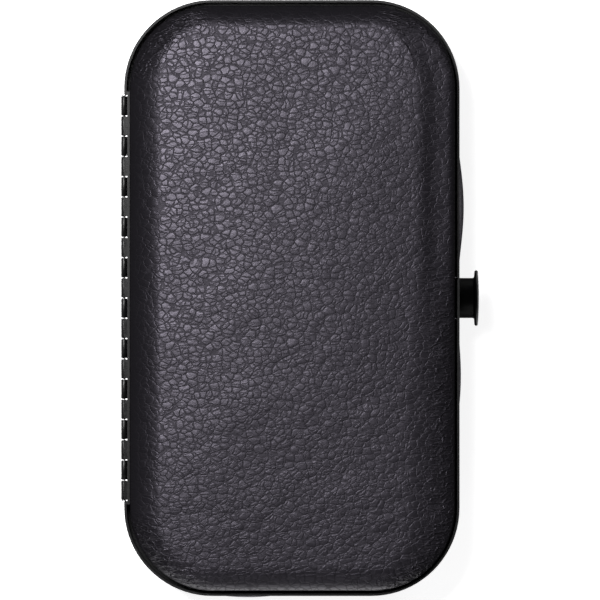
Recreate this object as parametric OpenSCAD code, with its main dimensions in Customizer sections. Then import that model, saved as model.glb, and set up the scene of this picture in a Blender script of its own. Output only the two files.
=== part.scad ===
// Framed pocket manicure case. Two padded halves in steel channel frames are joined by
// a piano hinge on the left and held shut by a spring-loaded push button on the right.
// X runs across the case, Y along it and Z up. The origin is under the middle of the
// overall box, on the surface that the closed case lies on.
// Each half is drawn once, with its height measured from the parting plane, and the base
// is the mirror image of the lid. A section's first number is the distance in from the
// frame's outline, and its second is the height from the parting plane.

/* [Case] */
// Width across the frames, without the hinge knuckles and the button
case_w = 83.65; // [80:0.05:90]
// Length along the hinge side
case_l = 148.6; // [146:0.1:170]
// Thickness of the closed case
case_t = 30; // [30:0.5:33]
// Radius of the corners, seen from above
corner_r = 22; // [21:0.1:22]
// How far in from the outline the rounded edge of each half reaches
edge_run = 8; // [7.5:0.1:9]

/* [Frame] */
// Height of each frame's outer wall above the parting plane
rim_z = 6.5; // [6.5:0.1:7]
// Thickness of the frame's steel
frame_t = 0.6; // [0.5:0.05:0.6]
// Width of the frame, from its outer face to its inner face
frame_w = 4.25; // [4.25:0.05:4.5]

/* [Hinge] */
// Number of knuckles, shared between the two halves
knuckles = 20; // [16:2:22]
// Distance from one knuckle to the next
knuckle_pitch = 5.0575; // [4:0.0005:5.06]
// Outer radius of a knuckle
knuckle_r = 0.72; // [0.7:0.01:0.74]
// Radius of the hinge pin
pin_r = 0.4; // [0.35:0.01:0.4]

/* [Button] */
// Radius of the button's barrel
barrel_r = 5; // [4.6:0.05:5]
// Radius of the button's head
head_r = 6.95; // [6:0.05:7.2]
// How far the button stands out from the frame
button_out = 4.95; // [4.6:0.05:6]
// Thickness of the button's head
head_t = 1.23; // [1.1:0.01:1.5]
// How far the button can be pressed in
button_travel = 2.5; // [2:0.1:2.5]

/* [Inside] */
// Number of small loops on each band of the base
base_loops = 6; // [4:1:6]
// Number of wide loops on the band of the lid
lid_loops = 4; // [3:1:4]
// Width of the elastic bands
band_w = 14; // [10:1:16]

/* [Hidden] */
$fn = 64;

// Places across the case
hinge_gap = 0.15;
half_w = (knuckle_r + hinge_gap + case_w + button_out) / 2;
hinge_x = knuckle_r - half_w;
left_x = hinge_x + hinge_gap;
right_x = left_x + case_w;
case_x = (left_x + right_x) / 2;
side_x = case_w / 2 - corner_r;
side_y = case_l / 2 - corner_r;
mid_z = case_t / 2;

// Frame: half the gap between the two frames, the hinge recess and the channel's floor
part_gap = 0.15;
recess = 0.8;
web_z = part_gap + frame_t;
span_y = knuckles * knuckle_pitch;
recess_y = span_y + 0.6;

// Hinge leaf and the start of what stands in the channel
leaf_z = web_z + 0.05;
leaf_t = 0.4;
layer_z = leaf_z + leaf_t + 0.1;
knuckle_gap = 0.3;
knuckle_l = knuckle_pitch - knuckle_gap;
pin_clear = 0.05;

// Layers of each half: distance in from the outline, and thickness
skin_in = recess + frame_t + 0.1;
skin_t = 0.7;
shell_in = skin_in + skin_t + 0.05;
shell_t = 1;
lining_in = shell_in + shell_t + 0.05;
lining_t = 0.3;
pad_gap = 0.05;
edge_round = 2.4;
half_t = case_t / 2;
shell_top = half_t - 3.8;
shell_step = 6.8;
shell_run = 6.2;
board_in = 8;
board_t = 1.6;
board_z = shell_top - shell_t - lining_t - 0.1;

// Latch: inner face of the frame, and places measured back from it
latch_x = right_x - frame_w;
head_x = right_x + button_out - head_t;
barrel_x = latch_x - 6;
plate_t = 0.8;
barrel_wall = 0.7;
spigot_wall = 0.4;
hollow_x = head_x - 0.9;
notch_r = barrel_r + 0.3;
stem_r = 1.5;
rear_x = latch_x - 11;
rivet_y = 13;
rivet_r = 0.7;
tab_y = 8.3;
tab_w = 2.8;
tab_z = 1.25;

// ---------- Shared shapes ----------

// A section that is swept round the case's outline
module ring(section) {
    swept = [for (p = section) [corner_r - p[0], p[1]]];
    translate([case_x, 0, 0]) {
        for (turn = [0, 180]) {
            rotate([0, 0, turn])
                rotate([90, 0, 0])
                    linear_extrude(height = 2 * side_y, center = true)
                        translate([side_x, 0]) polygon(swept);
            rotate([0, 0, turn + 90])
                rotate([90, 0, 0])
                    linear_extrude(height = 2 * side_x, center = true)
                        translate([side_y, 0]) polygon(swept);
        }
        for (sx = [-1, 1], sy = [-1, 1])
            translate([sx * side_x, sy * side_y, 0])
                rotate([0, 0, sx > 0 ? (sy > 0 ? 0 : -90) : (sy > 0 ? 90 : 180)])
                    rotate_extrude(angle = 90) polygon(swept);
    }
}

// The flat middle that joins a ring whose section reaches the corners' centres
module middle(z0, z1) {
    translate([case_x - side_x, -side_y, z0]) cube([2 * side_x, 2 * side_y, z1 - z0]);
}

// A flat plate with the case's outline, set in from it
module plate(inset, z0, z1) {
    ring([[inset, z0], [inset, z1], [corner_r, z1], [corner_r, z0]]);
    middle(z0, z1);
}

// The rounded edge of a half: a superellipse from the rim to the flat top
function edge(inset, top) =
    [for (t = [0 : 10 : 90])
        [edge_run - (edge_run - inset) * pow(cos(t), 2 / edge_round),
         rim_z + (top - rim_z) * pow(sin(t), 2 / edge_round)]];

// Room for the button's barrel through one wall of the frame and what is in it
module button_hole(r) {
    translate([latch_x - 3, 0, 0]) rotate([0, 90, 0]) cylinder(r = r, h = frame_w + 5);
}

module at_lid() {
    translate([0, 0, mid_z]) children();
}

module at_base() {
    translate([0, 0, mid_z]) mirror([0, 0, 1]) children();
}

// ---------- One half, measured from the parting plane ----------

// Steel channel with a set-back hinge side, slots for the hinge leaf and a half hole
// for the button
module half_frame(first) {
    inner = frame_w - frame_t;
    difference() {
        union() {
            difference() {
                ring([[0, part_gap], [0, rim_z], [frame_t, rim_z], [frame_t, web_z],
                      [inner, web_z], [inner, rim_z - 0.2], [frame_w, rim_z - 0.2],
                      [frame_w, part_gap]]);
                translate([left_x - 1, -recess_y / 2, 0])
                    cube([1 + recess, recess_y, rim_z + 1]);
            }
            translate([left_x + recess, -recess_y / 2 - frame_t, part_gap])
                cube([frame_t, recess_y + 2 * frame_t, rim_z - part_gap]);
            for (side = [-1, 1])
                translate([left_x + frame_t / 2, side * (recess_y + frame_t) / 2 - frame_t / 2,
                           part_gap])
                    cube([recess + frame_t / 2, frame_t, rim_z - part_gap]);
        }
        for (i = [first : 2 : knuckles - 1])
            translate([left_x + recess - 0.1, knuckle_y(i) - knuckle_l / 2 - 0.1, leaf_z - 0.04])
                cube([frame_t + 0.15, knuckle_l + 0.2, leaf_t + 0.08]);
        button_hole(notch_r);
        for (side = [-1, 1])
            translate([latch_x - 1, side * rivet_y, rim_z / 2])
                rotate([0, 90, 0]) cylinder(r = rivet_r + 0.02, h = frame_t + 1.2);
    }
}

function knuckle_y(i) = (i + 0.5) * knuckle_pitch - span_y / 2;

// Leaf in the channel, with every second knuckle curled from it
module half_leaf(first) {
    strip_x = left_x + recess + frame_t + 0.05;
    translate([strip_x, -span_y / 2, leaf_z])
        cube([left_x + frame_w - frame_t - 0.05 - strip_x, span_y, leaf_t]);
    for (i = [first : 2 : knuckles - 1])
        translate([0, knuckle_y(i) - knuckle_l / 2, 0]) {
            difference() {
                union() {
                    translate([hinge_x, 0, 0])
                        rotate([-90, 0, 0]) cylinder(r = knuckle_r, h = knuckle_l);
                    translate([hinge_x, 0, 0.3]) cube([0.6, knuckle_l, leaf_z + leaf_t - 0.3]);
                    translate([hinge_x, 0, leaf_z])
                        cube([strip_x + 0.5 - hinge_x, knuckle_l, leaf_t]);
                }
                translate([hinge_x, -1, 0])
                    rotate([-90, 0, 0]) cylinder(r = pin_r + pin_clear, h = knuckle_l + 2);
            }
        }
}

// Leatherette skin, closed over the top and tucked into the channel
module half_cover() {
    outer = edge(skin_in, half_t);
    inner = edge(skin_in + skin_t, half_t - skin_t);
    difference() {
        union() {
            ring(concat([[skin_in, layer_z]], outer, [[corner_r, half_t]],
                        [[corner_r, half_t - skin_t]],
                        [for (i = [len(inner) - 1 : -1 : 0]) inner[i]],
                        [[skin_in + skin_t, layer_z]]));
            middle(half_t - skin_t, half_t);
        }
        button_hole(notch_r);
    }
}

// Foam between the skin and the shell
module half_padding() {
    top = half_t - skin_t - pad_gap;
    bottom = shell_top + pad_gap;
    outer = edge(skin_in + skin_t + pad_gap, top);
    ring(concat([for (i = [1 : len(outer) - 1]) outer[i]],
                [[corner_r, top], [corner_r, bottom], [shell_run, bottom]],
                [[shell_in + 0.1, shell_step + 0.25]]));
    middle(bottom, top);
}

// Stiff board dish that gives the half its shape
module half_shell() {
    inside = shell_in + shell_t;
    floor_z = shell_top - shell_t;
    difference() {
        union() {
            ring([[shell_in, layer_z], [shell_in, shell_step], [shell_run, shell_top],
                  [corner_r, shell_top], [corner_r, floor_z], [shell_run + 0.4, floor_z],
                  [inside, shell_step - 0.3], [inside, layer_z]]);
            middle(floor_z, shell_top);
        }
        button_hole(notch_r);
    }
}

// Cloth lining that follows the inside of the shell
module half_lining() {
    inside = lining_in + lining_t;
    top = shell_top - shell_t - 0.05;
    floor_z = top - lining_t;
    difference() {
        union() {
            ring([[lining_in, layer_z], [lining_in, shell_step - 0.32],
                  [shell_run + 0.43, top], [corner_r, top], [corner_r, floor_z],
                  [shell_run + 0.58, floor_z], [inside, shell_step - 0.45],
                  [inside, layer_z]]);
            middle(floor_z, top);
        }
        button_hole(notch_r);
    }
}

// Wrapped card that lies on the lining and carries the loops
module half_board() {
    plate(board_in, board_z - board_t, board_z);
}

// Elastic band that rises into loops, with stitched-down flats between them
module band(loops, loop_r, pitch, y) {
    t = 0.6;
    run = (loops - 1) * pitch + 2 * loop_r + 5;
    translate([case_x, y + band_w / 2, board_z - board_t - 0.02])
        rotate([90, 0, 0])
            linear_extrude(height = band_w)
                difference() {
                    union() {
                        translate([-run / 2, -t]) square([run, t]);
                        for (i = [0 : loops - 1])
                            translate([(i - (loops - 1) / 2) * pitch, 0]) circle(r = loop_r);
                    }
                    for (i = [0 : loops - 1])
                        translate([(i - (loops - 1) / 2) * pitch, 0]) circle(r = loop_r - t);
                    translate([-run, 0]) square([2 * run, 2 * loop_r]);
                }
}

// ---------- Base ----------

module base_frame() {
    color("#1b1b1d") at_base() half_frame(1);
}

module base_hinge_leaf() {
    color("#202022") at_base() half_leaf(1);
}

module hinge_pin() {
    length = span_y - knuckle_gap + 0.2;
    color("#8d8f92")
        translate([hinge_x, 0, mid_z])
            rotate([90, 0, 0]) {
                cylinder(r = pin_r, h = length, center = true);
                for (side = [-1, 1])
                    translate([0, 0, side * (length / 2 + 0.1)])
                        cylinder(r = pin_r + 0.18, h = 0.25, center = true);
            }
}

module base_cover() {
    color("#2b292e") at_base() half_cover();
}

module base_padding() {
    color("#c9c2a8") at_base() half_padding();
}

module base_shell() {
    color("#7a6a55") at_base() half_shell();
}

module base_lining() {
    color("#17171a") at_base() half_lining();
}

module base_tool_board() {
    color("#222226") at_base() half_board();
}

module base_elastic_loops() {
    color("#0f0f10")
        at_base()
            for (side = [-1, 1])
                band(base_loops, 4.2, 10.6, side * 32);
}

// ---------- Latch in the base ----------

// Folded bracket: floor, two cheeks with riveted flanges, a front guide for the barrel
// and a rear wall that guides the stem and backs the spring
module latch_housing() {
    floor_z = -6.6;
    cheek_y = 10.2;
    cheek_top = -0.6;
    front_x = latch_x - 3.1;
    guide_r = barrel_r + 1.3;
    tongue_r = stem_r + 2.5;
    color("#9a9b9e")
        at_lid()
            difference() {
                union() {
                    translate([rear_x, -cheek_y - plate_t, floor_z])
                        cube([latch_x - rear_x, 2 * (cheek_y + plate_t), plate_t]);
                    for (side = [-1, 1]) {
                        translate([rear_x, side * (cheek_y + plate_t / 2) - plate_t / 2, floor_z])
                            cube([latch_x - rear_x, plate_t, cheek_top - floor_z]);
                        translate([latch_x - plate_t, side * rivet_y - 2.6, -6])
                            cube([plate_t, 5.2, cheek_top + 6]);
                    }
                    upright(front_x, guide_r, floor_z);
                    upright(rear_x, tongue_r, floor_z);
                    translate([rear_x, -cheek_y, floor_z])
                        cube([plate_t, 2 * cheek_y, cheek_top - floor_z]);
                }
                translate([front_x - 1, 0, 0])
                    rotate([0, 90, 0]) cylinder(r = barrel_r + 0.06, h = plate_t + 2);
                translate([rear_x - 1, 0, 0])
                    rotate([0, 90, 0]) cylinder(r = stem_r + 0.05, h = plate_t + 2);
                for (side = [-1, 1])
                    translate([latch_x - 2, side * rivet_y, -rim_z / 2])
                        rotate([0, 90, 0]) cylinder(r = rivet_r + 0.02, h = 3);
            }
}

// A wall across the bracket with a round top about the button's axis
module upright(x, r, floor_z) {
    translate([x, 0, 0]) rotate([0, 90, 0]) cylinder(r = r, h = plate_t);
    translate([x, -r, floor_z]) cube([plate_t, 2 * r, -floor_z]);
}

// Flush rivets through the frame's inner wall, with a round head inside the case
module rivets(z, face_x) {
    for (side = [-1, 1])
        translate([face_x, side * rivet_y, z])
            rotate([0, 90, 0]) {
                cylinder(r = rivet_r, h = latch_x + frame_t - face_x);
                translate([0, 0, -0.55])
                    rotate_extrude()
                        polygon([[0, 0], [0.75, 0], [1.25, 0.2], [1.4, 0.55], [0, 0.55]]);
            }
}

module latch_rivets() {
    color("#b9bbbe") translate([0, 0, mid_z]) rivets(-rim_z / 2, latch_x - plate_t);
}

// Compression spring round the stem, from the rear wall to the button's head
module button_spring() {
    turns = 8;
    steps = 18;
    sides = 8;
    wire_r = 0.3;
    coil_r = 2.9;
    start = rear_x + plate_t + wire_r;
    run = hollow_x - wire_r - start;
    count = turns * steps;
    points = [for (k = [0 : count], j = [0 : sides - 1])
        let (a = k * 360 / steps, b = j * 360 / sides, r = coil_r + wire_r * cos(b))
            [start + run * k / count + wire_r * sin(b), r * cos(a), r * sin(a)]];
    walls = [for (k = [0 : count - 1], j = [0 : sides - 1])
        let (n = (j + 1) % sides)
            [k * sides + j, k * sides + n, (k + 1) * sides + n, (k + 1) * sides + j]];
    ends = [[for (j = [sides - 1 : -1 : 0]) j], [for (j = [0 : sides - 1]) count * sides + j]];
    color("#a8aaad") at_lid() polyhedron(points = points, faces = concat(walls, ends));
}

// ---------- Button ----------

// Mushroom button: domed head and hollow barrel with a spigot for the catch plate
module button() {
    crown = 0.28;
    face_r = head_r - 0.3;
    spigot_x = barrel_x - plate_t;
    dome = [for (i = [0 : 6])
        let (r = face_r * (1 - i / 6))
            [r, head_x + head_t - crown + crown * (1 - pow(r / face_r, 2))]];
    color("#161617")
        at_lid()
            rotate([0, 90, 0])
                rotate_extrude()
                    polygon(concat(
                        [[0, hollow_x], [barrel_r - barrel_wall, hollow_x],
                         [barrel_r - barrel_wall, spigot_x], [barrel_r - spigot_wall, spigot_x],
                         [barrel_r - spigot_wall, barrel_x], [barrel_r, barrel_x],
                         [barrel_r, head_x - 0.35], [barrel_r + 0.12, head_x - 0.12],
                         [barrel_r + 0.35, head_x], [head_r - 0.3, head_x + 0.1],
                         [head_r - 0.05, head_x + 0.3], [head_r, head_x + 0.5],
                         [head_r - 0.05, head_x + 0.75]],
                        dome));
}

module button_stem() {
    color("#a0a2a5")
        translate([latch_x - 12.4, 0, mid_z])
            rotate([0, 90, 0]) cylinder(r = stem_r, h = hollow_x - latch_x + 12.4);
}

// Clip that stops the stem at the rear wall
module stem_clip() {
    color("#b4b6b9")
        translate([rear_x - 0.9, 0, mid_z])
            rotate([0, 90, 0])
                difference() {
                    cylinder(r = 2.8, h = 0.7);
                    translate([0, 0, -1]) cylinder(r = stem_r + 0.01, h = 3);
                    translate([-1.1, 0, -1]) cube([2.2, 5, 3]);
                }
}

// Plate staked on the barrel's spigot, with two tabs that hook over the striker's lips
module catch_plate() {
    tab_end = latch_x - frame_t - 0.2;
    ring_r = barrel_r + 0.8;
    color("#94969a")
        at_lid()
            difference() {
                union() {
                    translate([barrel_x - plate_t, 0, 0])
                        rotate([0, 90, 0]) cylinder(r = ring_r, h = plate_t);
                    translate([barrel_x - plate_t, -tab_y - tab_w / 2, 0.2])
                        cube([plate_t, 2 * tab_y + tab_w, tab_z + plate_t - 0.2]);
                    for (side = [-1, 1])
                        translate([barrel_x - plate_t, side * tab_y - tab_w / 2, tab_z])
                            cube([tab_end - barrel_x + plate_t, tab_w, plate_t]);
                }
                translate([barrel_x - plate_t - 1, 0, 0])
                    rotate([0, 90, 0]) cylinder(r = barrel_r - spigot_wall + 0.01, h = plate_t + 2);
            }
}

// ---------- Lid ----------

module lid_frame() {
    color("#1b1b1d") at_lid() half_frame(0);
}

module lid_hinge_leaf() {
    color("#202022") at_lid() half_leaf(0);
}

module lid_cover() {
    color("#2b292e") at_lid() half_cover();
}

module lid_padding() {
    color("#c9c2a8") at_lid() half_padding();
}

module lid_shell() {
    color("#7a6a55") at_lid() half_shell();
}

module lid_lining() {
    color("#17171a") at_lid() half_lining();
}

module lid_tool_board() {
    color("#222226") at_lid() half_board();
}

module lid_elastic_loops() {
    color("#0f0f10") at_lid() band(lid_loops, 5, 15, 32);
}

// Flat sewn pocket on the lower half of the lid's board, open towards the loops
module lid_pocket() {
    width = 58;
    length = 42;
    depth = 2;
    wall = 0.6;
    top_z = board_z - board_t - 0.02;
    color("#1d1d20")
        at_lid()
            difference() {
                translate([case_x - width / 2, -60, top_z - depth]) cube([width, length, depth]);
                translate([case_x - width / 2 + 2, -58, top_z - depth + wall])
                    cube([width - 4, length, depth]);
            }
}

// Plate riveted inside the lid's frame, with a lip under each tab of the catch plate
module striker() {
    lip_x = latch_x - frame_t - 1.3;
    low_z = 0.4;
    lip_w = tab_w + 0.6;
    color("#9a9b9e")
        at_lid() {
            difference() {
                translate([latch_x - frame_t, -rivet_y - 2.4, low_z])
                    cube([frame_t, 2 * rivet_y + 4.8, rim_z - 0.9 - low_z]);
                button_hole(barrel_r + 0.5);
                for (side = [-1, 1])
                    translate([latch_x - 2, side * rivet_y, rim_z / 2])
                        rotate([0, 90, 0]) cylinder(r = rivet_r + 0.02, h = 3);
            }
            for (side = [-1, 1])
                translate([lip_x, side * tab_y - lip_w / 2, low_z])
                    cube([latch_x - lip_x, lip_w, 0.6]);
        }
}

module striker_rivets() {
    color("#b9bbbe") translate([0, 0, mid_z]) rivets(rim_z / 2, latch_x - frame_t);
}

base_frame();
base_hinge_leaf();
hinge_pin();
base_cover();
base_padding();
base_shell();
base_lining();
base_tool_board();
base_elastic_loops();
latch_housing();
latch_rivets();
button_spring();
button();
button_stem();
catch_plate();
stem_clip();
lid_frame();
lid_hinge_leaf();
lid_cover();
lid_padding();
lid_shell();
lid_lining();
lid_tool_board();
lid_elastic_loops();
lid_pocket();
striker();
striker_rivets();
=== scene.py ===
import math

import bpy
import numpy as np
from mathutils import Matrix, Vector


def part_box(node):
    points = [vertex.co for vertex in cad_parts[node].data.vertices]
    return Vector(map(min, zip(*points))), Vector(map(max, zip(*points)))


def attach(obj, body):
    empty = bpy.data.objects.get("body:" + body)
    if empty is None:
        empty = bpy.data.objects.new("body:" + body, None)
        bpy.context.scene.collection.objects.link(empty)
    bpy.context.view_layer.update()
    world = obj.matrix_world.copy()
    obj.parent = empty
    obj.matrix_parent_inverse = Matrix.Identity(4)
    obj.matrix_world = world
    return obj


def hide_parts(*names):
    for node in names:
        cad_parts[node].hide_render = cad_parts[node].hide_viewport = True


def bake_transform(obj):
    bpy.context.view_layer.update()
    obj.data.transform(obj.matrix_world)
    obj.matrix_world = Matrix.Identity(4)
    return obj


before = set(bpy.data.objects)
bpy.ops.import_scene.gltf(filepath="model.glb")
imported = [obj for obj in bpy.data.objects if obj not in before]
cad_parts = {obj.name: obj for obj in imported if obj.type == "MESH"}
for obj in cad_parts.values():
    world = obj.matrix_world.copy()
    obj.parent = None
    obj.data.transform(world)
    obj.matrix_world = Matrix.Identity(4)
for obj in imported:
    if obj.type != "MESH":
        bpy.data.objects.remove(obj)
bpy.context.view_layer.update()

MM = 0.001               # metres in a millimetre
PER_M = 1000             # scale that makes a texture's unit one millimetre

# ---------- The case's outline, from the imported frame, in millimetres ----------

CORNER_R = 22.0          # corner radius of both frames
RIM_H = 6.5              # a frame's height above the parting plane
SKIN_IN = 1.5            # how far in from the outline the leatherette stands
SKIN_T = 0.7             # its thickness
CHANNEL_H = 1.3          # height of its tucked-in edge above the parting plane
CROWN = 2.6              # how far the lid's padded top falls away from its middle
GRAIN = 1.7              # size of a cell of the leatherette's grain


def box_mm(node):
    low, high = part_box(node)
    return np.array(low) / MM, np.array(high) / MM


frame_low, frame_high = box_mm("lid_frame")
CASE_X = (frame_low[0] + frame_high[0]) / 2
HALF_W = (frame_high[0] - frame_low[0]) / 2
HALF_L = (frame_high[1] - frame_low[1]) / 2
SIDE_X, SIDE_Y = HALF_W - CORNER_R, HALF_L - CORNER_R
TOP_Z = box_mm("lid_cover")[1][2]
MID_Z = TOP_Z / 2
HALF_T = TOP_Z / 2


class Outline:
    """Points round the case: each has a foot on the inner rectangle and a direction out."""

    def __init__(self, across, along, corner):
        self.nx, self.ny = across + corner, along + corner
        foot, turn = [], []

        def arc(cx, cy, start, end, count):
            for i in range(count):
                foot.append((cx, cy))
                turn.append(math.radians(start + (end - start) * i / count))

        def side(x0, y0, x1, y1, angle, count):
            for i in range(count):
                t = i / count
                foot.append((x0 + (x1 - x0) * t, y0 + (y1 - y0) * t))
                turn.append(math.radians(angle))

        x, y = SIDE_X, SIDE_Y
        arc(-x, -y, 225, 270, corner // 2)
        side(-x, -y, x, -y, 270, across)
        arc(x, -y, 270, 360, corner)
        side(x, -y, x, y, 0, along)
        arc(x, y, 0, 90, corner)
        side(x, y, -x, y, 90, across)
        arc(-x, y, 90, 180, corner)
        side(-x, y, -x, -y, 180, along)
        arc(-x, -y, 180, 225, corner - corner // 2)
        self.foot = np.array(foot) + (CASE_X, 0)
        self.out = np.column_stack([np.cos(turn), np.sin(turn)])
        self.count = len(foot)
        middle = self.at(4.0)
        steps = np.linalg.norm(np.roll(middle, -1, 0) - middle, axis=1)
        self.length = steps.sum()
        self.run = np.concatenate([[0], np.cumsum(steps)[:-1]])

    def at(self, inset):
        """The outline moved in by inset, which may be a number or one for each point."""
        reach = CORNER_R - np.broadcast_to(inset, self.count)
        return self.foot + reach[:, None] * self.out


def fill_grid(ring_xy, nx, ny):
    """Inner points of a grid that a closed ring of 2 * (nx + ny) points bounds."""
    bottom = ring_xy[: nx + 1]
    right = ring_xy[nx : nx + ny + 1]
    top = ring_xy[nx + ny : 2 * nx + ny + 1][::-1]
    left = np.vstack([ring_xy[2 * nx + ny :], ring_xy[:1]])[::-1]
    u = np.linspace(0, 1, nx + 1)[1:-1, None, None]
    v = np.linspace(0, 1, ny + 1)[None, 1:-1, None]
    across = (1 - v) * bottom[1:-1, None] + v * top[1:-1, None]
    along = (1 - u) * left[None, 1:-1] + u * right[None, 1:-1]
    corners = (
        (1 - u) * (1 - v) * bottom[0] + u * (1 - v) * bottom[-1]
        + (1 - u) * v * top[0] + u * v * top[-1]
    )
    return across + along - corners


def grid_faces(ring_start, inner_start, nx, ny, flip):
    """Quads between the ring's points and the grid's inner points."""
    count = 2 * (nx + ny)
    index = np.zeros((nx + 1, ny + 1), int)
    for i in range(nx + 1):
        index[i, 0] = i
        index[i, ny] = nx + ny + (nx - i)
    for j in range(ny + 1):
        index[nx, j] = nx + j
        index[0, j] = (count - j) % count
    index[1:-1, 1:-1] = -1
    index = index + ring_start
    inner = np.arange((nx - 1) * (ny - 1)).reshape(nx - 1, ny - 1) + inner_start
    index[1:-1, 1:-1] = inner
    a, b = index[:-1, :-1].ravel(), index[1:, :-1].ravel()
    c, d = index[1:, 1:].ravel(), index[:-1, 1:].ravel()
    quads = np.column_stack([a, b, c, d])
    return quads[:, ::-1] if flip else quads


def ring_faces(count, first, second):
    """Quads between two rings of equal count."""
    i = np.arange(count)
    n = (i + 1) % count
    return np.column_stack([first + i, first + n, second + n, second + i])


class Swept:
    """Rings round the case, with a grid across the first or last of them."""

    def __init__(self, outline):
        self.outline = outline
        self.points, self.faces = np.zeros((0, 3)), []
        self.rings = []

    def add_ring(self, inset, height):
        xy = self.outline.at(inset)
        z = np.broadcast_to(height, len(xy))
        start = len(self.points)
        self.points = np.vstack([self.points, np.column_stack([xy, z])])
        if self.rings:
            quads = ring_faces(self.outline.count, self.rings[-1], start)
            self.faces += quads.tolist()
        self.rings.append(start)

    def cap(self, ring, height, down):
        """Closes one ring with a grid at that height, facing down or up."""
        o = self.outline
        start = self.rings[ring]
        xy = self.points[start : start + o.count, :2]
        inner = fill_grid(xy, o.nx, o.ny).reshape(-1, 2)
        z = np.broadcast_to(height, len(inner))
        inner_start = len(self.points)
        self.points = np.vstack([self.points, np.column_stack([inner, z])])
        self.faces += grid_faces(start, inner_start, o.nx, o.ny, down).tolist()


# ---------- Meshes and noise ----------


def body_name(side):
    return "lid" if side > 0 else "base"


def make_object(name, points, faces, body, mat, side=0):
    """A smooth mesh piece, in millimetres, that rides on body, or on nothing yet if body is None.

    side 1 or -1 puts a half's heights above or below the parting plane.
    """
    points = np.array(points, float)
    if side:
        points[:, 2] = MID_Z + side * points[:, 2]
    if side < 0:
        faces = [face[::-1] for face in faces]
    mesh = bpy.data.meshes.new(name)
    mesh.from_pydata((points * MM).tolist(), [], faces)
    mesh.validate()
    mesh.polygons.foreach_set("use_smooth", [True] * len(mesh.polygons))
    mesh.materials.append(mat)
    obj = bpy.data.objects.new(name, mesh)
    bpy.context.scene.collection.objects.link(obj)
    if body:
        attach(obj, body)
    return obj


def smooth_step(t):
    t = np.clip(t, 0, 1)
    return t * t * (3 - 2 * t)


def bump(x, centre, width):
    return np.exp(-(((x - centre) / width) ** 2))


def wave_noise(x, y, seed):
    """Smooth value noise from -1 to 1 with a cell of one unit."""
    size = 128
    table = np.random.default_rng(seed).uniform(-1, 1, (size, size))
    xi, yi = np.floor(x).astype(int), np.floor(y).astype(int)
    fx, fy = smooth_step(x - xi), smooth_step(y - yi)

    def at(i, j):
        return table[(xi + i) % size, (yi + j) % size]

    low = at(0, 0) * (1 - fx) + at(1, 0) * fx
    high = at(0, 1) * (1 - fx) + at(1, 1) * fx
    return low * (1 - fy) + high * fy


def round_noise(run, length, spacing, seed):
    """Noise along a closed loop, with a cell of about spacing."""
    cells = max(4, round(length / spacing))
    table = np.random.default_rng(seed).uniform(-1, 1, cells)
    t = run / length * cells
    i = np.floor(t).astype(int)
    f = smooth_step(t - i)
    return table[i % cells] * (1 - f) + table[(i + 1) % cells] * f


def tube_faces(rows, sides, start=0):
    """Quads between the rows of points round a tube, and its two ends."""
    faces = []
    for i in range(rows - 1):
        first, second = start + i * sides, start + (i + 1) * sides
        for k in range(sides):
            n = (k + 1) % sides
            faces.append([first + k, second + k, second + n, first + n])
    last = start + (rows - 1) * sides
    faces.append(list(range(start, start + sides)))
    faces.append(list(range(last, last + sides))[::-1])
    return faces


# ---------- Materials ----------


class Nodes:
    """Short names for building one material's node tree."""

    def __init__(self, name):
        self.mat = bpy.data.materials.new(name)
        self.mat.use_nodes = True
        self.tree = self.mat.node_tree
        self.shader = self.tree.nodes["Principled BSDF"]
        coordinates = self.tree.nodes.new("ShaderNodeTexCoord")
        self.place = coordinates.outputs["Object"]
        self.facing = coordinates.outputs["Normal"]

    def set(self, **values):
        for key, value in values.items():
            self.shader.inputs[key.replace("_", " ")].default_value = value

    def node(self, kind, inputs=None, **settings):
        n = self.tree.nodes.new("ShaderNode" + kind)
        for key, value in settings.items():
            setattr(n, key, value)
        for key, value in (inputs or {}).items():
            if isinstance(value, bpy.types.NodeSocket):
                self.tree.links.new(value, n.inputs[key])
            else:
                n.inputs[key].default_value = value
        return n

    def link(self, value, key):
        self.tree.links.new(value, self.shader.inputs[key])

    def math(self, operation, a, b=0.0):
        return self.node("Math", {0: a, 1: b}, operation=operation).outputs[0]

    def scaled(self, per_metre, turn=(0, 0, 0), stretch=(1, 1, 1)):
        scale = tuple(per_metre * s for s in stretch)
        return self.node("Mapping", {"Vector": self.place, "Rotation": turn, "Scale": scale}).outputs[0]

    def noise(self, vector, scale=1.0, detail=3.0, roughness=0.5):
        inputs = {"Vector": vector, "Scale": scale, "Detail": detail, "Roughness": roughness}
        return self.node("TexNoise", inputs)

    def waves(self, vector, scale, distortion, direction):
        inputs = {"Vector": vector, "Scale": scale, "Distortion": distortion}
        return self.node("TexWave", inputs, bands_direction=direction).outputs["Fac"]

    def remap(self, value, low, high, to_low, to_high, kind="LINEAR"):
        inputs = {0: value, 1: low, 2: high, 3: to_low, 4: to_high}
        return self.node("MapRange", inputs, interpolation_type=kind).outputs[0]

    def blend(self, factor, a, b):
        n = self.node("Mix", data_type="RGBA")
        for socket, value in ((0, factor), (6, a), (7, b)):
            if isinstance(value, bpy.types.NodeSocket):
                self.tree.links.new(value, n.inputs[socket])
            else:
                n.inputs[socket].default_value = value
        return n.outputs[2]

    def bump(self, height, distance, strength=1.0, normal=None):
        inputs = {"Height": height, "Distance": distance, "Strength": strength}
        if normal is not None:
            inputs["Normal"] = normal
        return self.node("Bump", inputs).outputs[0]


def colour(r, g, b):
    return (r, g, b, 1.0)


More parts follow.
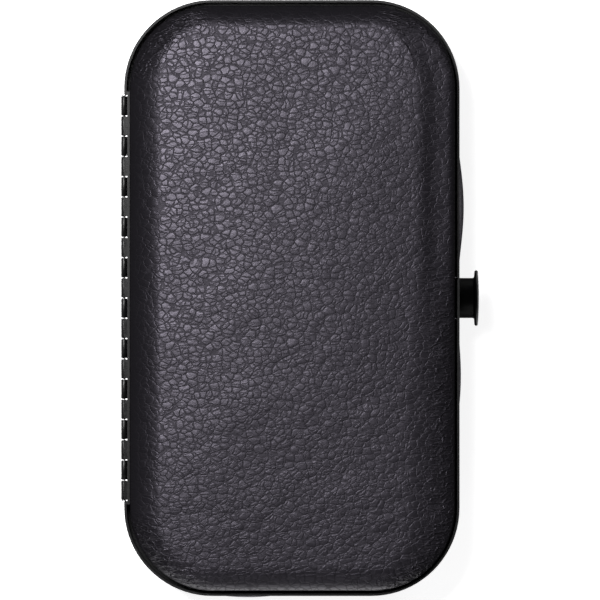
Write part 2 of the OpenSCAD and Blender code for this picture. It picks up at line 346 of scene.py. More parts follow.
def wrinkles(n, shift):
    """Fine raised folds where the skin is gathered: over the corners and on the lower button side."""
    turned = n.node("SeparateXYZ", {0: n.facing}).outputs
    spot = n.node("SeparateXYZ", {0: n.place}).outputs
    both = n.math("ABSOLUTE", n.math("MULTIPLY", turned["X"], turned["Y"]))
    corner = n.remap(both, 0.012, 0.13, 0.0, 1.0)
    button_side = n.math("MULTIPLY", n.remap(turned["X"], 0.2, 0.42, 0.0, 1.0),
                         n.remap(spot["Y"], 0.03, -0.012, 0.0, 1.0))
    sway = n.node("VectorMath", {0: shift, "Scale": 0.5}, operation="SCALE").outputs[0]
    folds = 0.0
    for angle, zone, high in ((-40, corner, 0.14), (35, corner, 0.14), (4, button_side, 0.15)):
        along = n.scaled(PER_M, (0, 0, math.radians(angle)), (0.2, 0.95, 0.6))
        along = n.node("VectorMath", {0: along, 1: sway}, operation="ADD").outputs[0]
        inputs = {"Vector": along, "Scale": 0.9, "Randomness": 1.0}
        edge = n.node("TexVoronoi", inputs, feature="DISTANCE_TO_EDGE").outputs["Distance"]
        ridge = n.math("MULTIPLY", n.remap(edge, 0.0, 0.14, high, 0.0, "SMOOTHSTEP"), zone)
        folds = n.math("ADD", ridge, folds)
    return folds


def leather_material():
    """Pebble grain: round domes that meet in fine creases, with longer creases that cross them.

    The texture's unit is a millimetre. Its cells are long in depth, so their edges cross the top's
    surface at a steep angle and draw thin lines on it.
    """
    warp_by, dome_fall = 1.1, 1.6
    crease_h, dome_h, small_dome_h, small_crease_h, pore_h = 0.052, 0.054, 0.012, 0.008, 0.008
    n = Nodes("black_pebble_leatherette")
    base = n.scaled(PER_M, (0, 0, math.radians(-32)), (0.86, 1.06, 0.3))
    warp = n.noise(base, 0.5, 2).outputs["Color"]
    shift = n.node("VectorMath", {0: warp, 1: (0.5, 0.5, 0.5)}, operation="SUBTRACT").outputs[0]
    shift = n.node("VectorMath", {0: shift, "Scale": warp_by}, operation="SCALE").outputs[0]
    place = n.node("VectorMath", {0: base, 1: shift}, operation="ADD").outputs[0]

    def crease(size, width, vector=place):
        """0 along the edges of cells that are about size across, and 1 away from them."""
        inputs = {"Vector": vector, "Scale": 1 / size, "Randomness": 1.0}
        edge = n.node("TexVoronoi", inputs, feature="DISTANCE_TO_EDGE").outputs["Distance"]
        return n.remap(edge, 0.0, width / size, 0.0, 1.0, "SMOOTHERSTEP")

    def dome(size, vector=place):
        """1 at the middle of each of those cells, falling along a parabola."""
        inputs = {"Vector": vector, "Scale": 1 / size, "Randomness": 1.0}
        reach = n.node("TexVoronoi", inputs, feature="F1").outputs["Distance"]
        return n.math("SUBTRACT", 1.0, n.math("MULTIPLY", n.math("MULTIPLY", reach, reach), dome_fall))

    long_place = n.scaled(PER_M, (0, 0, math.radians(-38)), (0.3, 0.85, 0.25))
    long_place = n.node("VectorMath", {0: long_place, 1: shift}, operation="ADD").outputs[0]
    crease_and_painted_shade = n.math("MULTIPLY", crease(GRAIN, 0.2), n.remap(crease(1.6, 0.11, long_place), 0, 1, 0.3, 1.0))
    height = n.math("MULTIPLY", crease_and_painted_shade, crease_h)
    height = n.math("ADD", height, n.math("MULTIPLY", dome(GRAIN), dome_h))
    height = n.math("ADD", height, n.math("MULTIPLY", dome(0.55 * GRAIN), small_dome_h))
    height = n.math("ADD", height, n.math("MULTIPLY", crease(0.6 * GRAIN, 0.12), small_crease_h))
    pores = n.noise(base, 4.0, 3).outputs["Fac"]
    height = n.math("ADD", height, n.math("MULTIPLY", pores, pore_h))
    # The grain is pulled flat where the skin turns down over the edge
    facing = n.node("SeparateXYZ", {0: n.facing}).outputs["Z"]
    pulled = n.remap(n.math("ABSOLUTE", facing), 0.45, 0.94, 0.3, 1.0)
    grain = n.bump(height, MM, pulled)
    n.link(n.bump(wrinkles(n, shift), MM, 1.0, grain), "Normal")
    tint = n.noise(n.scaled(60), 1.0, 3).outputs["Fac"]
    light = n.blend(tint, colour(0.0052, 0.0047, 0.006), colour(0.008, 0.0073, 0.0092))
    # Painted shade: the creases' base colour is darker than the cells', standing in for the shade that falls
    # in them
    n.link(n.blend(crease_and_painted_shade, colour(0.0012, 0.0011, 0.0014), light), "Base Color")
    patches = n.noise(n.scaled(180), 1.0, 2).outputs["Fac"]
    rough = n.math("ADD", n.remap(crease_and_painted_shade, 0.0, 1.0, 0.6, 0.37), n.math("MULTIPLY", patches, 0.07))
    n.link(rough, "Roughness")
    n.set(Specular_Tint=colour(0.9, 0.83, 1.0))
    return n.mat


def enamel_material(name, tone, rough, rub, gloss):
    """Satin black enamel on steel, with fine orange peel and rubbed patches."""
    n = Nodes(name)
    patches = n.noise(n.scaled(700), 1.0, 4).outputs["Fac"]
    worn = n.remap(patches, 0.6, 0.8, 0.0, rub)
    n.link(n.blend(worn, colour(tone, tone, tone * 1.05), colour(0.05, 0.05, 0.053)), "Base Color")
    n.link(n.remap(patches, 0.3, 0.7, rough - 0.04, rough + 0.06), "Roughness")
    n.link(n.bump(n.noise(n.scaled(1600), 1.0, 2).outputs["Fac"], 0.00002, 0.4), "Normal")
    n.set(Specular_IOR_Level=gloss)
    return n.mat


def metal_material(name, tone, rough, stretch):
    """Bright metal with fine directional scratches and a slightly uneven polish."""
    n = Nodes(name)
    lines = n.noise(n.scaled(1500, (0, 0, 0), stretch), 1.0, 4, 0.6).outputs["Fac"]
    cloud = n.noise(n.scaled(250), 1.0, 3).outputs["Fac"]
    dull, bright = colour(tone * 0.82, tone * 0.82, tone * 0.84), colour(tone, tone, tone * 1.02)
    n.link(n.blend(cloud, dull, bright), "Base Color")
    n.link(n.math("ADD", n.remap(lines, 0.3, 0.7, rough - 0.06, rough + 0.08),
                  n.remap(cloud, 0.3, 0.7, 0.0, 0.06)), "Roughness")
    n.link(n.bump(lines, 0.00001, 0.6), "Normal")
    n.set(Metallic=1.0)
    return n.mat


def velour_material(name, tone):
    """Short-pile cloth: matt, with a soft sheen and brushed patches."""
    n = Nodes(name)
    pile = n.noise(n.scaled(4200), 1.0, 3, 0.65).outputs["Fac"]
    brushed = n.noise(n.scaled(110, (0, 0, 0.5), (1, 0.45, 1)), 1.0, 3).outputs["Fac"]
    mixed = n.math("MULTIPLY", pile, n.remap(brushed, 0.3, 0.7, 0.6, 1.2))
    n.link(n.blend(mixed, colour(*(t * 0.35 for t in tone)), colour(*(t * 1.5 for t in tone))), "Base Color")
    n.link(n.bump(pile, 0.00012, 0.7), "Normal")
    n.set(Roughness=0.92, Sheen_Weight=0.5, Sheen_Roughness=0.45)
    n.set(Sheen_Tint=colour(0.5, 0.48, 0.55))
    return n.mat


def elastic_material():
    """Woven elastic: lengthwise cords crossed by a finer weft."""
    n = Nodes("black_woven_elastic")
    place = n.scaled(PER_M)
    cords = n.waves(place, 0.42, 0.15, "Y")
    weft = n.waves(place, 0.8, 0.3, "X")
    weave = n.math("ADD", n.math("MULTIPLY", cords, 0.7), n.math("MULTIPLY", weft, 0.3))
    n.link(n.blend(weave, colour(0.006, 0.006, 0.007), colour(0.04, 0.04, 0.043)), "Base Color")
    n.link(n.bump(weave, 0.00015, 0.8), "Normal")
    n.link(n.remap(weave, 0.0, 1.0, 0.85, 0.6), "Roughness")
    n.set(Sheen_Weight=0.2, Sheen_Roughness=0.4)
    return n.mat


def thread_material():
    n = Nodes("black_sewing_thread")
    place = n.scaled(PER_M, (0.3, 0.2, 0.7))
    ply = n.waves(place, 1.6, 0.4, "DIAGONAL")
    n.link(n.blend(ply, colour(0.02, 0.02, 0.022), colour(0.07, 0.07, 0.075)), "Base Color")
    n.link(n.bump(ply, 0.00006, 0.8), "Normal")
    n.set(Roughness=0.6, Sheen_Weight=0.3)
    return n.mat


def foam_material():
    n = Nodes("open_cell_foam")
    inputs = {"Vector": n.scaled(2200), "Scale": 1.0}
    cells = n.node("TexVoronoi", inputs, feature="DISTANCE_TO_EDGE").outputs["Distance"]
    wall = n.remap(cells, 0, 0.3, 0, 1)
    n.link(n.blend(wall, colour(0.32, 0.28, 0.2), colour(0.62, 0.57, 0.44)), "Base Color")
    n.link(n.bump(cells, 0.0002, 0.8), "Normal")
    n.set(Roughness=0.95)
    return n.mat


def board_material():
    n = Nodes("pressed_fibreboard")
    fibres = n.noise(n.scaled(700, (0, 0, 0.4), (1, 0.2, 1)), 1.0, 5, 0.7).outputs["Fac"]
    n.link(n.blend(fibres, colour(0.12, 0.085, 0.06), colour(0.26, 0.2, 0.14)), "Base Color")
    n.link(n.bump(fibres, 0.00005, 0.7), "Normal")
    n.set(Roughness=0.85)
    return n.mat


LEATHER = leather_material()
FRAME_PAINT = enamel_material("black_frame_enamel", 0.005, 0.38, 0.22, 0.18)
HINGE_PAINT = enamel_material("black_hinge_enamel", 0.004, 0.28, 0.3, 0.18)
BUTTON_PAINT = enamel_material("black_button_enamel", 0.003, 0.36, 0.1, 0.2)
PLATED = metal_material("nickel_plated_sheet", 0.26, 0.44, (0.06, 1, 1))
TURNED = metal_material("nickel_plated_turned", 0.34, 0.36, (1, 1, 0.1))
WIRE = metal_material("drawn_steel_wire", 0.3, 0.38, (0.1, 1, 1))
LINING = velour_material("black_lining_velour", (0.02, 0.019, 0.024))
WRAP = velour_material("black_board_velour", (0.026, 0.025, 0.031))
ELASTIC = elastic_material()
THREAD = thread_material()
FOAM = foam_material()
BOARD = board_material()


# ---------- Leatherette halves ----------

FINE = Outline(88, 232, 56)       # the skins' outer face
COARSE = Outline(22, 58, 14)      # their inner face, a quarter as fine
INSIDE = Outline(44, 116, 28)     # pads, linings and boards
FINE_STEPS, COARSE_STEPS = 36, 9  # rings up the shoulder


def side_shares(outline):
    """How far each point belongs to the button side, the hinge side and the far end."""
    x, y = outline.out[:, 0], outline.out[:, 1]
    return np.maximum(x, 0) ** 2, np.maximum(-x, 0) ** 2, np.maximum(y, 0) ** 2


def leather_run(outline):
    """How far in the padded edge reaches: further on the long sides, most at the lower button side."""
    button, hinge_side, far_end = side_shares(outline)
    lower = smooth_step((20 - outline.foot[:, 1]) / 60)
    return 7.6 + (3.4 + 3.6 * lower) * button + 1.6 * hinge_side - 1.0 * far_end


def shoulder_rings(outline, steps, first, inset, top):
    """Inset and height of each ring up the padded edge, a superellipse that is squarer on some sides."""
    run = leather_run(outline)
    _, hinge_side, far_end = side_shares(outline)
    power = 2.2 - 0.65 * (hinge_side + far_end)
    for i in range(first, steps + 1):
        t = math.radians(90 * i / steps)
        across = np.cos(t) ** (2 / power) if i < steps else 0.0
        yield run - (run - inset) * across, RIM_H + (top - RIM_H) * np.sin(t) ** (2 / power)


def crown(x, y, drop):
    """How far the padded top falls away from its middle."""
    across = ((x - CASE_X) / HALF_W) ** 2
    along = (y / HALF_L) ** 2
    return drop * np.hypot(across, 0.9 * along)


def gathers(run, length, seed):
    """Creases square to the edge, fine ones and wide ones together, from -1 to 1."""
    fine = 1 - np.abs(round_noise(run, length, 1.6, seed)) * 2
    wide = 1 - np.abs(round_noise(run, length, 4.1, seed + 1)) * 2
    return 0.65 * fine + 0.35 * wide


def leather_half(name, side, drop, seed, bulge):
    """The skin of one half, from its tucked-in edge over the padded shoulder and across the top."""
    def rings(outline, steps, inset, top):
        wall = [(inset, CHANNEL_H), (inset, (CHANNEL_H + RIM_H) / 2)]
        return wall + list(shoulder_rings(outline, steps, 0, inset, top))

    outer = Swept(FINE)
    for inset, height in rings(FINE, FINE_STEPS, SKIN_IN, HALF_T):
        outer.add_ring(inset, height)
    outer.cap(-1, HALF_T, down=False)
    points = outer.points
    ring_total = len(outer.rings) * FINE.count

    # Distance along the edge and in from it, for the points on the rings
    rows = len(outer.rings)
    along_edge = np.tile(FINE.run, rows)
    out = np.tile(FINE.out, (rows, 1))
    foot = np.tile(FINE.foot, (rows, 1))
    ring = points[:ring_total]
    inset = CORNER_R - np.einsum("ij,ij->i", ring[:, :2] - foot, out)
    rise = np.clip((ring[:, 2] - RIM_H) / (HALF_T - RIM_H), 0, 1)

    # Padding pushes the side out between the rim and the shoulder
    push = bulge(ring[:, 0], ring[:, 1], out) * np.sin(np.pi * rise) ** 0.8
    ring[:, :2] += out * push[:, None]

    # Gathers on the shoulder, stronger at the corners and on the lower button side
    corner = 1 - np.abs(np.abs(out[:, 0]) - np.abs(out[:, 1]))
    lower_button = smooth_step(out[:, 0] * 1.5 - 0.4) * smooth_step((25 - ring[:, 1]) / 40)
    everywhere, at_corners, at_button = 0.08, 0.34, 0.3
    strength = everywhere + at_corners * smooth_step(corner) + at_button * lower_button
    reach = bump(inset, 4.8, 2.4) * smooth_step(rise * 4)
    pattern = gathers(along_edge + 0.35 * inset * np.sin(along_edge / 9), FINE.length, seed)
    ring[:, 2] += strength * reach * pattern * 0.9

    # Along the upper button side the edge stands up as a soft roll, with a valley behind it
    roll = smooth_step(out[:, 0] * 1.6 - 0.5) * smooth_step((ring[:, 1] + 15) / 35) * smooth_step(rise * 3)
    sway = 1 + 0.25 * wave_noise(ring[:, 1] / 11, np.zeros(ring_total), seed + 4)
    roll_h, valley_h = 1.5, 0.55
    ring[:, 2] += roll * (roll_h * bump(inset, 2.4, 1.7) - valley_h * sway * bump(inset, 6.9, 1.9))
    points[:ring_total] = ring

    # Crown and soft unevenness of the whole top
    x, y = points[:, 0], points[:, 1]
    lift = np.clip((points[:, 2] - RIM_H) / (HALF_T - RIM_H), 0, 1)
    points[:, 2] -= crown(x, y, drop) * lift
    if drop:
        broad, slanting = 0.10, 0.05
        points[:, 2] += lift * broad * wave_noise(x / 13, y / 13, seed + 2)
        points[:, 2] += lift * slanting * wave_noise((x + y * 0.6) / 9, (y - x * 0.6) / 3.6, seed + 3)
    points[:, 2] = np.minimum(points[:, 2], HALF_T)

    inner = Swept(COARSE)
    for inset, height in rings(COARSE, COARSE_STEPS, SKIN_IN + SKIN_T, HALF_T - SKIN_T):
        inner.add_ring(inset, height)
    inner.cap(-1, HALF_T - SKIN_T, down=False)
    shell = inner.points
    lift = np.clip((shell[:, 2] - RIM_H) / (HALF_T - RIM_H), 0, 1)
    shell[:, 2] -= crown(shell[:, 0], shell[:, 1], drop) * lift

    start = len(points)
    faces = outer.faces + [[start + i for i in face[::-1]] for face in inner.faces]
    ratio = FINE.count // COARSE.count
    for j in range(COARSE.count):
        nearer = [(j * ratio + k) % FINE.count for k in range(ratio + 1)]
        far = [start + (j + 1) % COARSE.count, start + j]
        faces.append(nearer[::-1] + far[::-1])
    skin = make_object(name, np.vstack([points, shell]), faces, body_name(side),
                       LEATHER, side)
    return skin


def lid_bulge(_x, _y, out):
    """The lid's side stands out a little over the frame, except on the hinge side."""
    return 0.3 * smooth_step(out[:, 0] * 1.5 + 1) + 0.4 * smooth_step(out[:, 0] * 1.5)


def base_bulge(x, y, out):
    """The base's side stands out past the frame on the button side and at the lower left."""
    right = smooth_step(out[:, 0] * 3 - 2)
    lower_left = smooth_step(-out[:, 1] * 2 - 0.6) * bump(x, -13, 15.6)
    upper = 3.37 * bump(y, 23, 19.4) + 2.7 * bump(y, -20, 18)
    return right * upper + 2.6 * lower_left + 0.2


lid_leather = leather_half("lid_leather", 1, CROWN, 11, lid_bulge)
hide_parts("lid_cover")
base_leather = leather_half("base_leather", -1, 0.0, 31, base_bulge)
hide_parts("base_cover")


# ---------- Foam pads, linings and boards ----------

SHELL_H = box_mm("lid_shell")[1][2] - MID_Z
LINING_H = box_mm("lid_lining")[1][2] - MID_Z - 0.3
BOARD_BACK = box_mm("lid_tool_board")[1][2] - MID_Z
BOARD_FACE = box_mm("lid_tool_board")[0][2] - MID_Z
BOARD_IN = 8.0


def pad_half(side, drop):
    """Foam between the shell and the skin: flat underneath, crowned with the skin on top."""
    gap = 0.05
    inset, top = SKIN_IN + SKIN_T + gap, HALF_T - SKIN_T - gap
    low = SHELL_H + gap
    pad = Swept(INSIDE)
    for ring_inset, height in ((10.0, low), (8.0, low), (6.2, low), (4.3, low - 2.1), (2.5, low - 4.0)):
        pad.add_ring(ring_inset, height)
    upper = len(pad.points)
    for ring_inset, height in shoulder_rings(INSIDE, 14, 2, inset, top):
        pad.add_ring(ring_inset, height)
    pad.cap(-1, top, down=False)
    crowned = pad.points[upper:]
    lift = np.clip((crowned[:, 2] - RIM_H) / (HALF_T - RIM_H), 0, 1)
    crowned[:, 2] -= crown(crowned[:, 0], crowned[:, 1], drop) * lift
    pad.cap(0, low, down=True)
    name = body_name(side)
    obj = make_object(name + "_foam_pad", pad.points, pad.faces, name, FOAM, side)
    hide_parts(name + "_padding")


def lining_half(side, seed):
    """Velour laid into the shell, with small puckers where it turns the corners."""
    outline = INSIDE
    cloth = Swept(outline)
    foot_h, wall_in, floor_in, power = 6.0, 3.6, 8.2, 1.4
    for height in (CHANNEL_H + 0.1, 3.0, 4.6):
        cloth.add_ring(wall_in, height)
    steps = 12
    corner = smooth_step(1 - np.abs(np.abs(outline.out[:, 0]) - np.abs(outline.out[:, 1])))
    pucker = gathers(outline.run, outline.length, seed)
    for i in range(steps + 1):
        t = math.radians(90 * i / steps)
        across = math.cos(t) ** (2 / power) if i < steps else 0.0
        ripple = 0.16 * corner * pucker * math.sin(2 * t)
        cloth.add_ring(floor_in - (floor_in - wall_in) * across + np.maximum(ripple, -0.02),
                       foot_h + (LINING_H - foot_h) * math.sin(t) ** (2 / power))
    cloth.cap(-1, LINING_H, down=False)
    name = body_name(side)
    faces = [face[::-1] for face in cloth.faces]
    obj = make_object(name + "_velour_lining", cloth.points, faces, name, LINING, side)
    thick = obj.modifiers.new("thickness", "SOLIDIFY")
    thick.thickness = 0.22 * MM
    thick.offset = -1
    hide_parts(name + "_lining")


def board_half(side, seed):
    """Card wrapped in velour over a thin wadding, with a sewn channel inside its edge."""
    board = Swept(INSIDE)
    back, face = BOARD_BACK - 0.02, BOARD_FACE
    edge = 0.75
    board.add_ring(BOARD_IN + 4, back)
    board.add_ring(BOARD_IN + edge, back)
    steps = 8
    middle = (back + face) / 2
    half = (back - face) / 2
    for i in range(1, steps):
        t = math.radians(180 * i / steps)
        board.add_ring(BOARD_IN + edge - edge * math.sin(t) ** 0.8,
                       middle + half * math.copysign(abs(math.cos(t)) ** 0.8, math.cos(t)))
    board.add_ring(BOARD_IN + edge, face)
    seam = 2.6
    for along in np.linspace(0.3, 5.2, 15):
        dip = 0.28 * math.exp(-(((along - seam) / 0.4) ** 2))
        board.add_ring(BOARD_IN + edge + along, face + dip)
    board.cap(-1, face, down=False)
    board.cap(0, back, down=True)
    points = board.points
    soft = points[:, 2] < face + 0.5
    x, y = points[:, 0], points[:, 1]
    points[soft, 2] += 0.05 * wave_noise(x / 9, y / 9, seed)[soft] + 0.05
    faces = [quad[::-1] for quad in board.faces]
    name = body_name(side)
    obj = make_object(name + "_velour_board", points, faces, name, WRAP, side)
    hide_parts(name + "_tool_board")
    seam_xy = INSIDE.at(BOARD_IN + edge + seam)
    stitch_row(name + "_board_stitches", np.column_stack([seam_xy, np.full(len(seam_xy), face + 0.12)]),
               2.1, 1.5, side, closed=True)


# ---------- Sewing ----------


def resample(path, step):
    """Evenly spaced points along a line of points."""
    lengths = np.linalg.norm(np.diff(path, axis=0), axis=1)
    run = np.concatenate([[0], np.cumsum(lengths)])
    places = np.linspace(0, run[-1], max(2, round(run[-1] / step) + 1))
    return np.column_stack([np.interp(places, run, path[:, k]) for k in range(3)])


def stitch_row(name, path, step, length, side, closed=False, rise=0.14, radius=0.13):
    """A row of short thread stitches along a path in a half's heights, standing towards the cavity."""
    if closed:
        path = np.vstack([path, path[:1]])
    marks = resample(np.array(path, float), step)
    points, faces = [], []
    sides, rings = 6, 7
    for a, b in zip(marks[:-1], marks[1:]):
        along = (b - a) / np.linalg.norm(b - a)
        across = np.cross(along, (0, 0, 1))
        across /= np.linalg.norm(across)
        centre = (a + b) / 2
        start = len(points)
        for i in range(rings):
            t = i / (rings - 1)
            arch = math.sin(math.pi * t)
            spot = centre + along * (t - 0.5) * length - np.array((0, 0, rise * arch))
            size = radius * (0.35 + 0.65 * arch ** 0.4)
            for k in range(sides):
                a_k = 2 * math.pi * k / sides
                points.append(spot + across * size * math.cos(a_k) + np.array((0, 0, size * math.sin(a_k))))
        faces += tube_faces(rings, sides, start)
    return make_object(name, points, faces, body_name(side), THREAD, side)


# ---------- Elastic loops and pocket ----------


def band_path(loops, pitch, radius):
    """The band's middle line, from end to end: flats sewn to the board and round loops between them."""
    flat_h, foot_w, steps = 0.3, 0.9, 24
    flat_end = (loops - 1) / 2 * pitch + radius + 2.5
    line = [(-flat_end, flat_h)]
    for i in range(loops):
        centre = (i - (loops - 1) / 2) * pitch
        line.append((centre - radius - foot_w, flat_h))
        for k in range(steps + 1):
            a = math.pi * k / steps
            foot = flat_h * (1 - math.sin(a)) ** 6
            line.append((centre - (radius - flat_h) * math.cos(a), (radius - flat_h) * math.sin(a) + foot))
        line.append((centre + radius + foot_w, flat_h))
    line.append((flat_end, flat_h))
    return np.array(line)


def band_piece(name, loops, pitch, radius, width, y, side):
    """Woven elastic with rounded selvages, swept along its line."""
    line = band_path(loops, pitch, radius)
    line = resample(np.column_stack([line, np.zeros(len(line))]), 0.45)[:, :2]
    tangent = np.gradient(line, axis=0)
    tangent /= np.linalg.norm(tangent, axis=1)[:, None]
    normal = np.column_stack([-tangent[:, 1], tangent[:, 0]])
    half_t, selvage = 0.27, 10
    section = []
    across = np.linspace(-width / 2 + 0.3, width / 2 - 0.3, selvage)
    section += [(v, half_t * (1 + 0.06 * math.sin(v * 4.5))) for v in across]
    section += [(width / 2 - 0.06, half_t * 0.6), (width / 2, 0), (width / 2 - 0.06, -half_t * 0.6)]
    section += [(v, -half_t) for v in across[::-1]]
    section += [(-width / 2 + 0.06, -half_t * 0.6), (-width / 2, 0), (-width / 2 + 0.06, half_t * 0.6)]
    points = []
    base_h = BOARD_FACE - 0.02
    for p, n in zip(line, normal):
        for v, w in section:
            points.append((CASE_X + p[0] + n[0] * w, y + v, base_h - (p[1] + n[1] * w)))
    faces = [face[::-1] for face in tube_faces(len(line), len(section))]
    obj = make_object(name, points, faces, body_name(side), ELASTIC, side)
    feet = [(i - loops / 2) * pitch for i in range(loops + 1)]
    feet[0], feet[-1] = feet[0] + pitch / 2 - radius - 1.5, feet[-1] - pitch / 2 + radius + 1.5
    for i, foot in enumerate(feet):
        for k, offset in enumerate((-0.45, 0.45)):
            x = CASE_X + foot + offset
            ends = [(x, y - width / 2 + 0.8, base_h - 0.62), (x, y + width / 2 - 0.8, base_h - 0.62)]
            stitch_row(f"{name}_stitches_{i}_{k}", ends, 1.5, 1.15, side)
    return obj


BAND_W = 14.0


def base_bands():
    """Two bands of six narrow loops."""
    low, high = box_mm("base_elastic_loops")
    for label, y in (("upper", high[1] - BAND_W / 2), ("lower", low[1] + BAND_W / 2)):
        obj = band_piece("base_elastic_" + label, 6, 10.6, 4.2, BAND_W, y, -1)
        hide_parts("base_elastic_loops")


def lid_band():
    """One band of four wide loops."""
    low, high = box_mm("lid_elastic_loops")
    obj = band_piece("lid_elastic", 4, 15.0, 5.0, BAND_W, (low[1] + high[1]) / 2, 1)
    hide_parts("lid_elastic_loops")


def lid_pocket():
    """Velour pocket, sewn down on three sides and bound along its open edge."""
    low, high = box_mm("lid_pocket")
    nx, ny = 96, 72
    xs, ys = np.linspace(low[0], high[0], nx + 1), np.linspace(low[1], high[1], ny + 1)
    gx, gy = np.meshgrid(xs, ys, indexing="ij")
    from_side = np.minimum(gx - low[0], high[0] - gx)
    from_foot = gy - low[1]
    seam = smooth_step((np.minimum(from_side, from_foot) - 0.6) / 4.5)
    open_lift = 0.55 + 0.75 * smooth_step(from_foot / (high[1] - low[1]))
    folds = 0.12 * wave_noise(gx / 7, gy / 16, 71) * seam
    lift = 0.35 + open_lift * seam + folds
    in_by = 1.6              # from the pocket's edge to its seam
    channel = 0.14 * bump(np.minimum(from_side, from_foot), in_by, 0.45)
    height = BOARD_FACE - (lift - channel)
    points = np.column_stack([gx.ravel(), gy.ravel(), height.ravel()])
    index = np.arange(len(points)).reshape(nx + 1, ny + 1)
    faces = np.column_stack([index[:-1, :-1].ravel(), index[:-1, 1:].ravel(),
                             index[1:, 1:].ravel(), index[1:, :-1].ravel()]).tolist()
    obj = make_object("lid_velour_pocket", points, faces, "lid", LINING, 1)
    thick = obj.modifiers.new("thickness", "SOLIDIFY")
    thick.thickness = 0.45 * MM
    thick.offset = -1
    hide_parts("lid_pocket")
    binding(points.reshape(nx + 1, ny + 1, 3)[:, -1])
    foot_h = BOARD_FACE - 0.5
    left, right, foot, top = low[0] + in_by, high[0] - in_by, low[1] + in_by, high[1] - 1.5
    path = [(left, top, foot_h), (left, foot, foot_h), (right, foot, foot_h), (right, top, foot_h)]
    stitch_row("lid_pocket_stitches", path, 2.1, 1.5, 1)


def binding(edge):
    """A folded tape over the pocket's open edge."""
    back, up, half_w, half_t, sides = 0.9, 0.2, 1.15, 0.48, 12
    points = []
    for p in edge:
        for k in range(sides):
            a = 2 * math.pi * k / sides
            points.append((p[0], p[1] - back + half_w * math.cos(a), p[2] + up + half_t * math.sin(a)))
    faces = [face[::-1] for face in tube_faces(len(edge), sides)]
    make_object("lid_pocket_binding", points, faces, "lid", ELASTIC, 1)


def latch_spring():
    """The button's compression spring, with closed end turns."""
    low, high = box_mm("button_spring")
    wire = 0.3
    coil = (high[1] - low[1]) / 2 - wire
    turns, steps, sides = 8, 28, 10
    count = turns * steps
    t = np.linspace(0, 1, count + 1)
    pitch = 0.35 + 0.65 * smooth_step(np.minimum(t, 1 - t) * turns - 0.5)
    run = np.concatenate([[0], np.cumsum((pitch[1:] + pitch[:-1]) / 2)])
    centre = low[0] + wire + run / run[-1] * (high[0] - low[0] - 2 * wire)
    points = []
    for k in range(count + 1):
        a = 2 * math.pi * k / steps
        for j in range(sides):
            b = 2 * math.pi * j / sides
            reach = coil + wire * math.cos(b)
            points.append((centre[k] + wire * math.sin(b), reach * math.cos(a), MID_Z + reach * math.sin(a)))
    faces = tube_faces(count + 1, sides)
    obj = make_object("latch_spring_coil", points, faces, None, WIRE)
    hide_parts("button_spring")
    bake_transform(obj)


latch_spring()
pad_half(1, CROWN)
pad_half(-1, 0.0)
lining_half(1, 51)
lining_half(-1, 61)
board_half(1, 41)
board_half(-1, 43)
base_bands()
lid_band()
lid_pocket()


# ---------- CAD pieces: bevelled edges and materials ----------

FINISHES = {
    "base_frame": (FRAME_PAINT, 0.14), "lid_frame": (FRAME_PAINT, 0.14),
    "base_hinge_leaf": (HINGE_PAINT, 0.07), "lid_hinge_leaf": (HINGE_PAINT, 0.07),
    "hinge_pin": (WIRE, 0.05), "button": (BUTTON_PAINT, 0.06),
    "button_stem": (TURNED, 0.1),
    "catch_plate": (PLATED, 0.1), "stem_clip": (PLATED, 0.08),
    "latch_housing": (PLATED, 0.12), "striker": (PLATED, 0.1),
    "latch_rivets": (TURNED, 0), "striker_rivets": (TURNED, 0),
    "base_shell": (BOARD, 0.1), "lid_shell": (BOARD, 0.1),
}


def finish_node(name, mat, width):
    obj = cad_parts[name]
    if not obj.material_slots:
        obj.data.materials.append(mat)
    for slot in obj.material_slots:
        slot.material = mat
    if width:
        weld = obj.modifiers.new("weld", "WELD")
        weld.merge_threshold = 0.00001
        bevel = obj.modifiers.new("edges", "BEVEL")
        bevel.width = width * MM
        bevel.segments = 2
        bevel.limit_method = "ANGLE"
        bevel.angle_limit = math.radians(40)
        bevel.harden_normals = True


for node_name, (node_mat, edge_width) in FINISHES.items():
    finish_node(node_name, node_mat, edge_width)


# ---------- Floor, light and camera ----------


def floor_material():
    n = Nodes("pale_floor")
    grain = n.noise(n.scaled(30), 1.0, 2).outputs["Fac"]
    n.link(n.blend(grain, colour(0.86, 0.86, 0.865), colour(0.9, 0.9, 0.905)), "Base Color")
    n.set(Roughness=0.9, Emission_Color=colour(1, 1, 1), Emission_Strength=0.75)
    return n.mat


def make_floor():
    reach, below = 2.5, -0.0002
    corners = [(-reach, -reach, below), (reach, -reach, below), (reach, reach, below), (-reach, reach, below)]
    mesh = bpy.data.meshes.new("floor")
    mesh.from_pydata(corners, [], [(0, 1, 2, 3)])
    mesh.materials.append(floor_material())
    obj = bpy.data.objects.new("floor", mesh)
    bpy.context.scene.collection.objects.link(obj)
    # The floor doesn't light the case, or the shoulders would lose their dark edge
    obj.visible_diffuse = False
    obj.visible_glossy = False


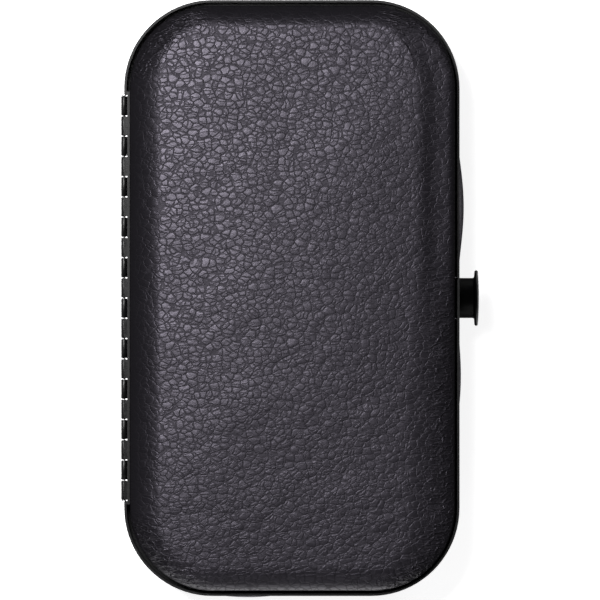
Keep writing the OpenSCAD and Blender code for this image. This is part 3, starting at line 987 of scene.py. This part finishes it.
def area_light(name, place, size, power, aim=(0, 0, 0.015), spare=None):
    """A soft rectangle of light, flagged off the spare object."""
    light = bpy.data.lights.new(name, "AREA")
    light.shape = "RECTANGLE"
    light.size, light.size_y = size
    light.energy = power
    obj = bpy.data.objects.new(name, light)
    obj.location = place
    direction = np.array(aim) - np.array(place)
    obj.rotation_euler = Vector(direction).to_track_quat("-Z", "Y").to_euler()
    obj.visible_camera = False
    if spare:
        spared = bpy.data.collections.new(name + "_spares")
        spared.objects.link(spare)
        spared.collection_objects[0].light_linking.link_state = "EXCLUDE"
        obj.light_linking.receiver_collection = spared
    bpy.context.scene.collection.objects.link(obj)


def make_light():
    world = bpy.data.worlds.new("studio")
    world.use_nodes = True
    background = world.node_tree.nodes["Background"]
    background.inputs["Color"].default_value = (1, 1, 1, 1)
    background.inputs["Strength"].default_value = 0.045
    bpy.context.scene.world = world
    area_light("key_softbox", (-0.19, 0.19, 0.62), (0.24, 0.24), 6.3, spare=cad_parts["button"])
    area_light("front_strip", (-0.1, -0.85, 0.5), (1.0, 0.3), 1.0)
    area_light("front_card", (-0.02, -0.17, 0.001), (0.11, 0.15), 0.09, (-0.015, -0.1, 0.3))
    area_light("right_softbox", (0.75, 0.75, 0.55), (0.4, 0.4), 1.5)
    # Low fill from all round for the sides. The padded top keeps its dark shoulders.
    far, height = 0.9, 0.15
    for side, x, y in (("left", -far, 0), ("right", far, 0), ("front", 0, -far), ("back", 0, far)):
        area_light(side + "_fill", (x, y, height), (0.9, 0.29), 2.0, spare=lid_leather)
    # Lights that lie on the floor as white cards would, for the upright steel and the base's side
    long_card, short_card = ((0.4, 0.8), 1.6), ((0.3, 0.4), 0.6)
    for side, x, y, (size, power) in (("left", -0.25, 0, long_card), ("right", 0.25, 0, long_card),
                                      ("near", 0, -0.28, short_card), ("far", 0, 0.28, short_card)):
        area_light(side + "_card", (x, y, 0.001), size, power, (x, y, 1.0), lid_leather)
    bpy.context.scene.view_settings.view_transform = "Standard"


def make_camera():
    """Straight above, from far off, so that the case is seen almost without perspective."""
    distance = 2.4
    frame_width = 0.15        # width of the view at the parting plane, in metres
    camera = bpy.data.cameras.new("camera")
    camera.sensor_width = 36
    camera.lens = camera.sensor_width * distance / frame_width
    camera.clip_end = 10
    obj = bpy.data.objects.new("camera", camera)
    obj.location = (0.0, -0.0005, MID_Z * MM + distance)
    bpy.context.scene.collection.objects.link(obj)
    bpy.context.scene.camera = obj


make_floor()
make_light()
make_camera()
